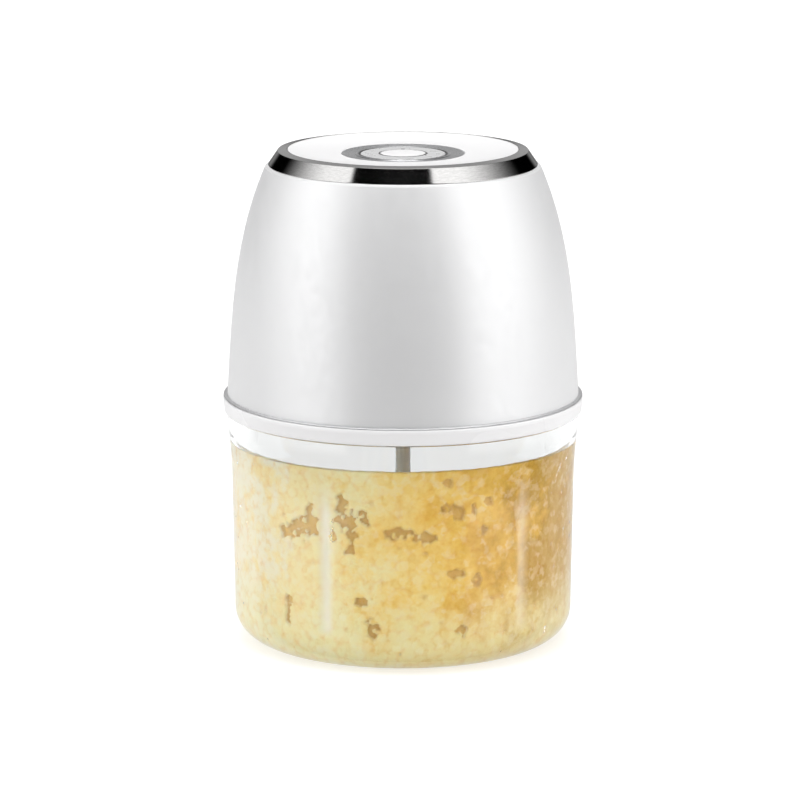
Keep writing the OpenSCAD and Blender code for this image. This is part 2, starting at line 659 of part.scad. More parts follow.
bowl();
pivot_pin();
lid();
lid_gasket();
lid_bush();
blade_hub();
hub_bush();
drive_spindle();
spindle_clip();
lower_blade();
middle_blade();
upper_blade();
housing();
seam_ring();
trim_ring();
top_plate();
button_bezel();
base_cover();
base_screws();
motor_frame();
motor_can();
motor_end_cap();
motor_magnets();
motor_bushes();
motor_screws();
battery();
battery_tabs();
circuit_board();
board_components();
board_screws();
power_switch();
charge_socket();
interlock_switch();
leads_red();
leads_black();
motor_shaft();
motor_armature();
armature_windings();
commutator();
drive_coupling();
power_button();
button_cap();
indicator_lens();
button_spring();
switch_plunger();
interlock_pin();
interlock_spring();
port_cover();
cover_hinge_pin();
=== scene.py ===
"""Cordless mini food processor: its looks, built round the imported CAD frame. Profiles are in millimetres."""

import math

import bmesh
import bpy
import numpy as np
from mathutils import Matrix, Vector, noise


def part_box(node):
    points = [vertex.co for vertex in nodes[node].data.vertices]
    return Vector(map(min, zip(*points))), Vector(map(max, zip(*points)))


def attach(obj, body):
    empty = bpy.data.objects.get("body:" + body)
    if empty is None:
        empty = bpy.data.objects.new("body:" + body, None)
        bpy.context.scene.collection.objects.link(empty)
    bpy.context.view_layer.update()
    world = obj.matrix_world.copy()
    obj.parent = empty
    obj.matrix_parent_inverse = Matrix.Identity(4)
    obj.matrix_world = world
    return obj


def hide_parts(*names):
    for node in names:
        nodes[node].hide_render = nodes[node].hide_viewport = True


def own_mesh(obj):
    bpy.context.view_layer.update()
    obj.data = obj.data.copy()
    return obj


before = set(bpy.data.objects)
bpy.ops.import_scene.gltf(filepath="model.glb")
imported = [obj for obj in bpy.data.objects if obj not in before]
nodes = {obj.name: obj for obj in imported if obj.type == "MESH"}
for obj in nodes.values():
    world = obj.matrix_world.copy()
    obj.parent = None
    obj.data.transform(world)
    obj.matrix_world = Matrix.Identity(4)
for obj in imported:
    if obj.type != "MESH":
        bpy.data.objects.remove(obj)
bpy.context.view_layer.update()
scene = bpy.context.scene


def low(node):
    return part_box(node)[0] * 1000


def high(node):
    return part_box(node)[1] * 1000


# ---- meshes ----


def add_mesh(name, verts, faces, sharp=35):
    """A new object from vertices in millimetres, smooth but for edges sharper than that angle."""
    mesh = bpy.data.meshes.new(name)
    mesh.from_pydata([Vector(v) / 1000 for v in verts], [], faces)
    return add_object(name, mesh, sharp)


def add_object(name, mesh, sharp=35):
    bm = bmesh.new()
    bm.from_mesh(mesh)
    bmesh.ops.remove_doubles(bm, verts=bm.verts, dist=1e-8)
    bmesh.ops.recalc_face_normals(bm, faces=bm.faces)
    bm.to_mesh(mesh)
    bm.free()
    mesh.shade_smooth()
    mesh.set_sharp_from_angle(angle=math.radians(sharp))
    obj = bpy.data.objects.new(name, mesh)
    scene.collection.objects.link(obj)
    return obj


def lathe(name, outline, angles=256, warp=None, sharp=35):
    """A closed outline of (radius, height) turned about the Z axis. warp(r, z, degrees) gives a new radius."""
    if isinstance(angles, int):
        angles = [360 * i / angles for i in range(angles)]
    n = len(angles)
    turned = [(math.cos(math.radians(a)), math.sin(math.radians(a)), a) for a in angles]
    verts, rings = [], []
    for r, z in outline:
        if r < 1e-6:
            rings.append([len(verts)] * n)
            verts.append((0, 0, z))
            continue
        rings.append(range(len(verts), len(verts) + n))
        for c, s, a in turned:
            q = warp(r, z, a) if warp else r
            verts.append((q * c, q * s, z))
    faces = []
    for k in range(len(rings)):
        a, b = rings[k], rings[(k + 1) % len(rings)]
        if len(set(a)) == 1 and len(set(b)) == 1:
            continue
        for i in range(n):
            j = (i + 1) % n
            corners = [a[i], a[j], b[j], b[i]]
            faces.append([v for m, v in enumerate(corners) if v != corners[m - 1]])
    return add_mesh(name, verts, faces, sharp)


def soften(points, radius=0.3, steps=4):
    """Rounds the corners of a closed outline. A point may carry its own radius as a third number."""
    out = []
    for i, p in enumerate(points):
        a, b, c = Vector(points[i - 1][:2]), Vector(p[:2]), Vector(points[(i + 1) % len(points)][:2])
        r = p[2] if len(p) > 2 else radius
        u, v = a - b, c - b
        lu, lv = u.length, v.length
        u.normalize()
        v.normalize()
        turn = math.pi - u.angle(v, math.pi)
        if b.x < 1e-6 or r <= 0 or turn < 0.12:
            out.append(tuple(b))
            continue
        reach = min(r * math.tan(turn / 2), 0.42 * lu, 0.42 * lv)
        r = reach / math.tan(turn / 2)
        start, end = b + u * reach, b + v * reach
        centre = b + (u + v).normalized() * (r / math.cos(turn / 2))
        out.append(tuple(start + u * min(0.12, 0.2 * reach + 0.01)))
        for k in range(steps + 1):
            w = k / steps
            chord = (start - centre).lerp(end - centre, w)
            mid = math.sin(turn * (1 - w)) * (start - centre) + math.sin(turn * w) * (end - centre)
            out.append(tuple(centre + (mid / math.sin(turn) if turn < 3.1 else chord)))
        out.append(tuple(end + v * min(0.12, 0.2 * reach + 0.01)))
    return out


def arc(x, y, r, start, end, steps):
    """Points round (x, y), between two angles in degrees."""
    turns = [math.radians(start + (end - start) * i / steps) for i in range(steps + 1)]
    return [(x + r * math.cos(t), y + r * math.sin(t)) for t in turns]


# ---- materials ----


def put(tree, kind, inputs=(), **props):
    """A node with its properties and inputs set. An input is a value or another node's socket."""
    node = tree.nodes.new(kind)
    for key, value in props.items():
        setattr(node, key, value)
    for key, value in dict(inputs).items():
        socket = node.inputs[key]
        if isinstance(value, bpy.types.NodeSocket):
            tree.links.new(value, socket)
        else:
            socket.default_value = value
    return node


def shader(name, **values):
    """A material's tree and its shader, with the shader's own values set."""
    mat = bpy.data.materials.new(name)
    mat.use_nodes = True
    bsdf = mat.node_tree.nodes["Principled BSDF"]
    for key, value in values.items():
        socket = bsdf.inputs[key.replace("_", " ")]
        socket.default_value = (*value, 1) if key.endswith(("Color", "Tint")) else value
    return mat, mat.node_tree, bsdf


MARK_LENGTH = 0.006


def place(tree):
    return put(tree, "ShaderNodeTexCoord").outputs["Object"]


def calc(tree, operation, a, b=0.0):
    return put(tree, "ShaderNodeMath", {0: a, 1: b}, operation=operation).outputs["Value"]


def noise_at(tree, vector, scale, detail=3.0, rough=0.5):
    inputs = {"Vector": vector, "Scale": scale, "Detail": detail, "Roughness": rough}
    return put(tree, "ShaderNodeTexNoise", inputs).outputs["Fac"]


def spread(tree, value, a, b, start=0.3, end=0.7):
    """Maps the range start to end, which is a noise's middle unless given, to the range a to b."""
    inputs = {"Value": value, "From Min": start, "From Max": end, "To Min": a, "To Max": b}
    return put(tree, "ShaderNodeMapRange", inputs).outputs["Result"]


def mix_number(tree, factor, a, b):
    """a where the factor is 0, b where it is 1."""
    return put(tree, "ShaderNodeMapRange", {"Value": factor, "To Min": a, "To Max": b}).outputs["Result"]


def ramp(tree, value, *stops):
    """A colour ramp. Each stop is a position and a colour."""
    node = put(tree, "ShaderNodeValToRGB", {"Fac": value})
    elements = node.color_ramp.elements
    while len(elements) < len(stops):
        elements.new(0.5)
    for element, (position, colour) in zip(elements, stops):
        element.position = position
        element.color = (*colour, 1)
    return node.outputs["Color"]


def mix_colour(tree, factor, a, b, blend="MIX"):
    node = tree.nodes.new("ShaderNodeMix")
    node.data_type = "RGBA"
    node.blend_type = blend
    for index, value in ((0, factor), (6, a), (7, b)):
        if isinstance(value, bpy.types.NodeSocket):
            tree.links.new(value, node.inputs[index])
        else:
            node.inputs[index].default_value = (*value, 1) if isinstance(value, tuple) else value
    return node.outputs[2]


def bump(tree, bsdf, height, distance, strength=1.0):
    inputs = {"Height": height, "Strength": strength, "Distance": distance}
    tree.links.new(put(tree, "ShaderNodeBump", inputs).outputs["Normal"], bsdf.inputs["Normal"])


def turned_place(tree):
    """Coordinates that run with lathe marks: radius, angle times a small number, height."""
    x, y, z = put(tree, "ShaderNodeSeparateXYZ", {"Vector": place(tree)}).outputs
    flat = put(tree, "ShaderNodeCombineXYZ", {"X": x, "Y": y}).outputs["Vector"]
    radius = put(tree, "ShaderNodeVectorMath", {0: flat}, operation="LENGTH").outputs["Value"]
    along = calc(tree, "MULTIPLY", calc(tree, "ARCTAN2", y, x), MARK_LENGTH)
    return put(tree, "ShaderNodeCombineXYZ", {"X": radius, "Y": along, "Z": z}).outputs["Vector"]


def moulded(name, colour, rough, texture=0.00002, scale=2200, vary=0.03, worn=420, **values):
    """Moulded plastic or rubber: a fine grain of that depth and scale, a colour that drifts by the share vary, and a
    gloss that drifts at the scale worn."""
    mat, tree, bsdf = shader(name, Roughness=rough, **values)
    at = place(tree)
    drift = noise_at(tree, at, 35, 4)
    dark, light = [c * (1 - vary) for c in colour], [min(1, c * (1 + vary)) for c in colour]
    tree.links.new(ramp(tree, drift, (0.3, dark), (0.7, light)), bsdf.inputs["Base Color"])
    tree.links.new(spread(tree, noise_at(tree, at, worn, 3), rough * 0.85, rough * 1.15), bsdf.inputs["Roughness"])
    bump(tree, bsdf, noise_at(tree, at, scale, 2), texture)
    return mat


def turned_metal(name, colour, rough, line=3600, depth=0.000004, anisotropic=0.6):
    """Metal with fine lathe marks round the Z axis."""
    mat, tree, bsdf = shader(name, Metallic=1.0, Anisotropic=anisotropic, Anisotropic_Rotation=0.25)
    marks = noise_at(tree, turned_place(tree), line, 3, 0.6)
    dark, light = [c * 0.93 for c in colour], [min(1, c * 1.05) for c in colour]
    tree.links.new(ramp(tree, marks, (0.35, dark), (0.65, light)), bsdf.inputs["Base Color"])
    tree.links.new(spread(tree, marks, rough * 0.8, rough * 1.25), bsdf.inputs["Roughness"])
    tangent = put(tree, "ShaderNodeTangent", direction_type="RADIAL", axis="Z").outputs["Tangent"]
    tree.links.new(tangent, bsdf.inputs["Tangent"])
    bump(tree, bsdf, marks, depth)
    return mat


def plain_metal(name, colour, rough, scale=900, depth=0.000004):
    """Drawn, stamped or cast metal with a mottled gloss."""
    mat, tree, bsdf = shader(name, Metallic=1.0)
    at = place(tree)
    mottle = noise_at(tree, at, scale, 4, 0.6)
    dark, light = [c * 0.92 for c in colour], [min(1, c * 1.08) for c in colour]
    tree.links.new(ramp(tree, mottle, (0.35, dark), (0.65, light)), bsdf.inputs["Base Color"])
    tree.links.new(spread(tree, mottle, rough * 0.75, rough * 1.3), bsdf.inputs["Roughness"])
    bump(tree, bsdf, noise_at(tree, at, scale * 4, 2), depth)
    return mat


white = moulded("white_gloss_plastic", (0.91, 0.905, 0.91), 0.28, texture=0.0000004, scale=900, vary=0.006, worn=12)
pearl = moulded(
    "pearl_white_plastic", (0.86, 0.86, 0.865), 0.42, texture=0.000001, scale=1500, vary=0.006, Metallic=0.3
)
chrome = turned_metal("turned_chrome", (0.5, 0.495, 0.49), 0.08, anisotropic=0.6)
seam_chrome = turned_metal("seam_chrome", (0.86, 0.86, 0.87), 0.38, anisotropic=0.4)
spun = turned_metal("spun_aluminium", (0.62, 0.62, 0.635), 0.3, line=5200, depth=0.000008, anisotropic=0.7)
silver = moulded(
    "silver_button_plastic", (0.74, 0.74, 0.745), 0.3, texture=0.000002, scale=3000, vary=0.01, Metallic=0.35
)
steel = plain_metal("bright_steel", (0.66, 0.66, 0.67), 0.16)
spindle_steel = moulded("spindle_steel", (0.84, 0.91, 1.0), 0.3, texture=0.000001, vary=0.01, worn=60, Metallic=0.35)
# Painted shadow: a dark metal for the thin rings that stand in for the shade in the narrow gaps round the button.
gap_shadow_dark_metal = plain_metal("gap_shadow_dark_metal", (0.1, 0.1, 0.105), 0.25)
bronze = plain_metal("sintered_bronze", (0.5, 0.34, 0.17), 0.42, scale=3500, depth=0.00002)
copper = plain_metal("enamelled_copper", (0.62, 0.27, 0.12), 0.3, scale=2600)
ferrite = moulded("ferrite", (0.035, 0.035, 0.038), 0.5, texture=0.00002, scale=3500, vary=0.2)
laminated = plain_metal("laminated_core", (0.26, 0.26, 0.27), 0.45)
black = moulded("black_plastic", (0.018, 0.018, 0.02), 0.42, texture=0.00001, scale=2600, vary=0.15)
grey = moulded("grey_plastic", (0.42, 0.425, 0.43), 0.36, texture=0.00001, scale=2600, vary=0.05)
rubber = moulded(
    "pale_silicone", (0.74, 0.74, 0.73), 0.5, scale=2400, Subsurface_Weight=0.08, Subsurface_Scale=0.001
)
sleeve = moulded("cell_sleeve", (0.03, 0.2, 0.12), 0.3, texture=0.00001, scale=1500, vary=0.1)
red = moulded("red_insulation", (0.45, 0.012, 0.012), 0.4, texture=0.00001, vary=0.08)
dark_lens = moulded("indicator_lens", (0.05, 0.06, 0.065), 0.12, texture=0.0, vary=0.1)


def board_material():
    """Green solder mask with tracks that show as lighter lines."""
    mat, tree, bsdf = shader("solder_mask", Roughness=0.35, Coat_Weight=0.3)
    at = place(tree)
    sizes = {"Vector": at, "Scale": 160.0, "Mortar Size": 0.05, "Mortar Smooth": 0.1}
    shades = {"Color1": (0, 0, 0, 1), "Color2": (0.2, 0.2, 0.2, 1), "Mortar": (1, 1, 1, 1)}
    cells = put(tree, "ShaderNodeTexBrick", {**sizes, **shades})
    colour = ramp(tree, cells.outputs["Color"], (0.1, (0.006, 0.055, 0.02)), (0.9, (0.02, 0.13, 0.05)))
    tree.links.new(colour, bsdf.inputs["Base Color"])
    bump(tree, bsdf, cells.outputs["Color"], 0.00003)
    return mat


def clear_material():
    """Clear moulded plastic with the faintest flow marks."""
    values = {"Base_Color": (0.985, 0.992, 0.99), "IOR": 1.5, "Specular_IOR_Level": 0.3, "Transmission_Weight": 1.0}
    mat, tree, bsdf = shader("clear_plastic", **values)
    at = place(tree)
    tree.links.new(spread(tree, noise_at(tree, at, 90, 3), 0.0, 0.035), bsdf.inputs["Roughness"])
    bump(tree, bsdf, noise_at(tree, at, 60, 2), 0.00004, 0.5)
    return mat


clear = clear_material()

# ---- bowl ----

shoulder = high("bowl").z - 2.3
bowl_r, wall, corner, floor_t = 41.4, 2.0, 7.7, 2.6
neck, neck_top = shoulder - 19.4, shoulder - 3.4
RIBS = [44.8 - 90 + 72 * k for k in range(5)]
RIB_HEIGHT, RIB_HALF_ANGLE = 0.9, 4.0
RIM_WIDEST = 40.6


def bowl_outer(z):
    t = min(1, max(0, (z - neck) / (neck_top - neck)))
    rise = min(1, max(0, (z - corner) / (neck - corner)))
    return bowl_r + 0.5 * rise + t * t


def bowl_inner(z):
    """The inside of the bowl's wall, with its rounded lower corner."""
    if z < floor_t + corner - wall:
        down = floor_t + corner - wall - z
        return bowl_r - corner + math.sqrt(max(0, (corner - wall) ** 2 - down * down))
    return min(RIM_WIDEST, bowl_outer(z) - wall)


def rib_height(degrees, z):
    """How far a rib stands in from the wall there."""
    off = min(abs((degrees - r + 180) % 360 - 180) for r in RIBS)
    side = 0.5 + 0.5 * math.cos(math.pi * min(1, off / RIB_HALF_ANGLE))
    top = min(1, max(0, (shoulder - 9 - z) / 9))
    bottom = min(1, max(0, (z - corner) / 2.5))
    return RIB_HEIGHT * side * top * bottom


def make_bowl():
    foot_r = bowl_r - corner
    foot = [(0, 0.8), (foot_r - 3.7, 0.8, 0.25), (foot_r - 3.7, 0, 0.25), (foot_r, 0, 0), (foot_r + 0.01, 0.0, 0)]
    outer = soften(foot, 0.2)[:-2]
    outer = [p for p in outer if p[0] < foot_r - 0.05]
    side = arc(foot_r, corner, corner, -90, 0, 22)
    heights = [corner + (neck_top - corner) * i / 40 for i in range(1, 41)]
    side += [(bowl_outer(z), z) for z in heights]
    rim = [(bowl_outer(shoulder), shoulder - 1.2, 0), (bowl_outer(shoulder), shoulder, 0.35), (42.2, shoulder, 0.25),
           (42.2, shoulder + 2.3, 0.4), (RIM_WIDEST, shoulder + 2.3, 0.4), (RIM_WIDEST, shoulder - 1.2, 0),
           (41.0, shoulder - 1.3, 0)]
    rim = soften(rim, 0.3)
    rim = [p for p in rim if not (40.7 < p[0] < 42 and p[1] < shoulder - 0.9)]
    inner = [(bowl_inner(z), z) for z in np.linspace(shoulder - 2, corner + 0.6, 90)]
    bottom = arc(foot_r, floor_t + corner - wall, corner - wall, 0, -90, 20)
    boss = soften([(foot_r, floor_t, 0), (4.6, floor_t, 0.5), (4.6, 7, 0.4), (0, 7)], 0.3)[1:]
    angles = set(np.round(np.arange(0, 360, 2), 3))
    for r in RIBS:
        angles |= {round((r + d) % 360, 3) for d in np.arange(-4.25, 4.26, 0.25)}

    def warp(r, z, a):
        on_inside = z > corner and z < shoulder - 5 and abs(r - bowl_inner(z)) < 0.05
        return r - rib_height(a, z) if on_inside else r

    return lathe("clear_bowl", outer + side + rim + inner + bottom + boss, sorted(angles), warp, sharp=50)


bowl = make_bowl()
bowl.data.materials.append(clear)
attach(bowl, "bowl")
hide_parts("bowl")

# ---- the food in the bowl ----

FRONT = -90  # the direction that faces the camera
FOOD_OUTER, FOOD_INNER = 39.5, 34.75  # the inner radius stays outside the blades, which reach 33.65


def front_angle(degrees):
    """Degrees round from the front, negative to the left."""
    return (degrees - FRONT + 180) % 360 - 180


# Where the wall shows gaps between the bits: degrees from the front, height, half width, half height.
POCKETS = [
    (-43, 33.2, 3.4, 1.7), (-36, 34.6, 5.0, 2.6), (-33, 37.0, 2.0, 3.0), (-21, 40.6, 2.2, 2.6), (-20, 37.6, 4.2, 2.2),
    (-17.6, 34.6, 3.0, 2.4), (-13.5, 38.3, 2.2, 1.6), (-24.5, 33.6, 2.0, 1.4), (-18.5, 30.0, 1.6, 1.4),
    (-5, 34.2, 1.8, 1.7),
    (0, 34.6, 3.0, 1.4), (7.5, 33.5, 3.8, 1.4), (16, 40.4, 2.8, 1.4), (19, 38.6, 1.8, 1.4), (15, 46.7, 1.4, 1.0),
    (30.3, 41.4, 1.6, 1.1), (24.5, 39.6, 0.9, 1.7), (28, 34.5, 1.6, 1.0), (18, 24.2, 3.4, 1.0), (26, 22.4, 1.8, 1.6),
    (20.5, 10.0, 2.0, 1.4), (-43, 13.5, 1.3, 3.4), (-14, 17.6, 3.0, 1.2), (-11, 11.0, 2.4, 2.2)]
BIT = 1.75  # the size of a bit of garlic


def food_top(x, y):
    """The food's height there: level along the front of the wall, and sloping down towards the back."""
    front = -math.sqrt(max(0, FOOD_OUTER**2 - x * x))
    ragged = noise.noise(Vector((x / 10, y / 10, 2.0)))
    return 49.7 + 0.2 * ragged - 0.225 * max(0, y - front) - (0.6 + 0.5 * ragged if y > 2 else 0)


def openness(degrees, z):
    """How open the gaps between the bits are behind the wall there, from 0 to 1."""
    a = front_angle(degrees)
    c, s = math.cos(math.radians(degrees)), math.sin(math.radians(degrees))
    d = min(((a - centre) / half_w) ** 2 + ((z - height) / half_h) ** 2 for centre, height, half_w, half_h in POCKETS)
    amount = max(0, 1 - 0.4 * d)
    loose = noise.noise(Vector((c * 4.6, s * 4.6, z / 9)))
    return max(amount, min(0.6, 2.2 * (loose - 0.25)) if abs(a) > 100 and z > 13 else 0)


def make_food():
    """Minced garlic: a lining pressed against the bowl's wall and floor, clear of the blades' sweep.

    A section's points carry their part: 0 floor, 1 wall, 2 top, 3 inside, 4 the layer's upper face. The colour layer
    holds how far a point is on a rib, how deep in a gap, how near a bit's edge, and the bit's own random tone; the
    material paints light on the ribs, and paints shade in the gaps and towards the bits' edges.
    """
    n, verts, tint = 720, [], []
    foot_r, first = bowl_r - corner, floor_t + corner - wall
    for i in range(n):
        a = 360 * i / n
        c, s = math.cos(math.radians(a)), math.sin(math.radians(a))
        top = food_top(FOOD_OUTER * c, FOOD_OUTER * s)
        inner_top = min(top, food_top(35 * c, 35 * s))
        section = [(foot_r - 24 + 24 * k / 10, floor_t - 0.06, 0) for k in range(11)]
        section += [(r, z, 1) for r, z in arc(foot_r, first, corner - wall + 0.1, -86, 0, 18)]
        section += [(bowl_inner(z), z, 1) for z in np.linspace(first + 0.4, top, 112)]
        brow = ((38.9, 0), (38.0, 0.1), (36.9, 0.4), (35.8, 0.9), (35.0, 1.7))
        section += [(r, food_top(r * c, r * s) - drop, 2) for r, drop in brow]
        section += [(FOOD_INNER, z, 3) for z in np.linspace(inner_top - 3.0, 10.0, 30)]
        section += [(r, z, 3) for r, z in [(34.4, 8.4), (33.6, 7.2), (32.2, 6.6)]]
        section += [(r, 6.1, 4) for r in np.linspace(30, 9.7, 12)] + [(9.4, 4.6, 4)]
        for r, z, part in section:
            at = Vector((r * c, r * s, z))
            near, centres = noise.voronoi(at / BIT)
            fine = noise.noise(at * 1.9)
            gap = 0
            if part == 1:
                gap = min(1, max(0, (near[0] + 0.15 * fine - 0.95 + 0.8 * openness(a, z)) * 5))
                inward = max(-0.12, 0.3 * near[0] + 0.07 * fine - 0.3 + 0.9 * gap)
                r = min(r - inward, bowl_inner(z) - rib_height(a, z) + 0.12)
            elif part >= 2:
                lift = (0.5 - near[0]) * 0.6 + 0.35 * fine + 0.5 * noise.noise(at * 0.4)
                if part == 3:
                    r += 0.35 - 0.45 * lift
                else:
                    z += 0.45 * lift if part == 4 else 0.35 * lift
                r = min(r, bowl_inner(z) - 0.03)
            verts.append((r * c, r * s, z))
            shade = 0.5 + 0.5 * noise.cell(centres[0] * 7.3)
            tint.append((min(1, rib_height(a, z) / RIB_HEIGHT), gap, min(1, near[0]), shade))
    m = len(section)
    faces = []
    for i in range(n):
        j = (i + 1) % n
        for k in range(m):
            q = (k + 1) % m
            faces.append((i * m + k, j * m + k, j * m + q, i * m + q))
    mesh = bpy.data.meshes.new("minced_food")
    mesh.from_pydata([Vector(v) / 1000 for v in verts], [], faces)
    layer = mesh.color_attributes.new("tint", "FLOAT_COLOR", "POINT")
    layer.data.foreach_set("color", np.array(tint, np.float32).ravel())
    mesh.shade_smooth()
    obj = bpy.data.objects.new("minced_food", mesh)
    scene.collection.objects.link(obj)
    bm = bmesh.new()
    bm.from_mesh(mesh)
    bmesh.ops.recalc_face_normals(bm, faces=bm.faces)
    bm.to_mesh(mesh)
    bm.free()
    return obj


def food_material():
    """Pale garlic at the left, more golden to the right, greener at the bottom, with painted light where it lies on the
    ribs and painted shade, a dark tan, in the air pockets and towards the bits' edges.
    """
    values = {"Roughness": 0.5, "Subsurface_Weight": 0.3, "Subsurface_Scale": 0.0005, "Specular_IOR_Level": 0.35}
    mat, tree, bsdf = shader("minced_garlic", **values)
    bsdf.inputs["Subsurface Radius"].default_value = (1.0, 0.75, 0.4)
    at = place(tree)
    x, y, z = put(tree, "ShaderNodeSeparateXYZ", {"Vector": at}).outputs
    tint = put(tree, "ShaderNodeAttribute", attribute_name="tint")
    on_rib, hollow, bits = put(tree, "ShaderNodeSeparateColor", {"Color": tint.outputs["Color"]}).outputs
    blotch = noise_at(tree, at, 110, 5, 0.65)
    grain = put(tree, "ShaderNodeTexVoronoi", {"Vector": at, "Scale": 820.0, "Detail": 1.0}).outputs["Color"]
    grain = put(tree, "ShaderNodeSeparateColor", {"Color": grain}).outputs["Red"]
    side = calc(tree, "ADD", x, spread(tree, blotch, -0.012, 0.012))
    left_to_right = (
        (0.0, (0.98, 0.91, 0.72)), (0.09, (0.98, 0.85, 0.5)), (0.27, (0.99, 0.88, 0.52)), (0.36, (0.97, 0.79, 0.35)),
        (0.52, (0.95, 0.72, 0.25)), (0.65, (0.88, 0.61, 0.14)), (0.79, (0.76, 0.49, 0.09)), (0.91, (0.56, 0.34, 0.045)),
        (0.97, (0.62, 0.42, 0.11)))
    base = ramp(tree, spread(tree, side, 0, 1, -0.035, 0.04), *left_to_right)
    height = calc(tree, "ADD", z, spread(tree, blotch, -0.006, 0.006))
    base = mix_colour(tree, spread(tree, height, 0.65, 0.0, 0.007, 0.021), base, (0.94, 0.89, 0.55))
    shade = calc(tree, "ADD", spread(tree, tint.outputs["Alpha"], 0.0, 0.6, 0, 1), spread(tree, grain, 0.0, 0.4, 0, 1))
    darker = ramp(tree, shade, (0.0, (0.93, 0.86, 0.7)), (0.5, (1.0, 1.0, 1.0)), (1.0, (1.0, 1.0, 1.0)))
    colour = mix_colour(tree, 1.0, base, darker, "MULTIPLY")
    colour = mix_colour(tree, spread(tree, shade, 0.0, 0.3, 0.6, 1.0), colour, (1.0, 0.95, 0.78))
    # Painted shade: darker towards each bit's edge, where the gaps between the bits lie.
    colour = mix_colour(tree, spread(tree, bits, 0.0, 0.8, 0.55, 0.95), colour, (0.93, 0.8, 0.62), "MULTIPLY")
    colour = mix_colour(tree, spread(tree, blotch, 0.0, 0.5, 0.5, 0.75), colour, (0.95, 0.8, 0.6), "MULTIPLY")
    # Painted light: the food is paler where it lies on a rib, less so to the right, standing in for the light that the
    # rib's clear plastic refracts onto it.
    rib_painted_light = calc(tree, "MULTIPLY", on_rib, spread(tree, x, 0.95, 0.4, -0.01, 0.025))
    colour = mix_colour(tree, rib_painted_light, colour, (1.0, 0.96, 0.82))
    # Painted shade: a dark tan in the gaps behind the wall, with ragged edges round them.
    edge = calc(tree, "ADD", hollow, spread(tree, noise_at(tree, at, 900, 3, 0.6), -0.25, 0.25))
    colour = mix_colour(tree, spread(tree, edge, 0.0, 0.8, 0.3, 0.75), colour, (0.68, 0.4, 0.05))
    tree.links.new(colour, bsdf.inputs["Base Color"])
    bump(tree, bsdf, noise_at(tree, at, 1300, 4, 0.6), 0.00015, 0.6)
    return mat


food = make_food()
food.data.materials.append(food_material())
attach(food, "bowl")

# ---- lid ----

lid_top, flange_r = high("lid").z, 44.0


def make_lid():
    """The lid: sleeve for the spindle, plate, gasket groove, channel over the bowl's rim, and flange."""
    sleeve_z = low("lid").z
    outline = [(3.9, sleeve_z, 0.2), (5.5, sleeve_z, 0.5), (5.5, lid_top - 2, 1.2), (38.2, lid_top - 2, 0.9),
               (38.2, shoulder + 0.1, 0.3), (40.35, shoulder + 0.1, 0.2), (40.35, shoulder + 0.35, 0.05),
               (39.25, shoulder + 0.35, 0.1), (39.25, shoulder + 1.65, 0.1), (40.35, shoulder + 1.65, 0.05),
               (40.35, shoulder + 2.55, 0.1), (42.35, shoulder + 2.55, 0.1), (42.35, shoulder, 0.25),
               (43.72, shoulder, 0.9), (43.86, shoulder + 1.9, 2.0), (flange_r, lid_top - 1.0, 1.2),
               (flange_r, lid_top, 0.45), (12, lid_top, 0.4), (11, lid_top - 0.6, 0.4), (3.9, lid_top - 0.6, 0.2)]
    return lathe("lid_shell", soften(outline, 0.3, 6), 288)


lid = make_lid()
lid.data.materials.append(white)
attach(lid, "lid")
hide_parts("lid")

# ---- motor unit, outside ----

housing_z, housing_top = low("housing").z, high("housing").z
housing_h = housing_top - housing_z


def housing_r(z):
    u = max(0, z - housing_z) / housing_h
    return 42.95 - 3.1 * u - 6.6 * u**3.3


def cutter(name, points_low, points_high):
    """A closed prism between two matching rings of points."""
    n = len(points_low)
    faces = [tuple(range(n)), tuple(range(2 * n - 1, n - 1, -1))]
    faces += [(i, n + i, n + (i + 1) % n, (i + 1) % n) for i in range(n)]
    return add_mesh(name, list(points_low) + list(points_high), faces)


hinge_z = (low("cover_hinge_pin").z + high("cover_hinge_pin").z) / 2
hinge_y = (low("cover_hinge_pin").y + high("cover_hinge_pin").y) / 2
port_z = (low("charge_socket").z + high("charge_socket").z) / 2


def rounded_rect(half_w, half_h, r):
    out = []
    for sx, sy, start in ((1, 1, 0), (-1, 1, 90), (-1, -1, 180), (1, -1, 270)):
        out += arc(sx * (half_w - r), sy * (half_h - r), r, start, start + 90, 5)
    return out


TOP_EDGE = 0.45  # the radius of the housing's upper edge
POCKET_HALF_W, POCKET_DEPTH = 7.65, 1.55


def make_housing():
    edge = TOP_EDGE
    rows = [housing_z + 0.35 + (housing_top - edge - housing_z - 0.35) * i / 60 for i in range(61)]
    foot_r = housing_r(housing_z)
    outside = [(foot_r - 0.12, housing_z), (foot_r - 0.03, housing_z + 0.1)] + [(housing_r(z), z) for z in rows]
    ring = housing_r(housing_top) - edge
    outside += arc(ring, housing_top - edge, edge, 12, 90, 8)
    inside = [(30.6, housing_top), (30.6, housing_top - 2.4)]
    inside += [(housing_r(z) - 2.2, z) for z in np.linspace(housing_top - 3, housing_z, 30)]
    return lathe("housing_shell", outside + inside, 320)


housing = make_housing()


def cut(obj, tool):
    """Takes the tool away from the object's mesh, and removes the tool."""
    mod = obj.modifiers.new("cut", "BOOLEAN")
    mod.operation = "DIFFERENCE"
    mod.solver = "EXACT"
    mod.object = tool
    mesh = bpy.data.meshes.new_from_object(obj.evaluated_get(bpy.context.evaluated_depsgraph_get()))
    obj.modifiers.clear()
    obj.data = mesh
    bpy.data.objects.remove(tool)


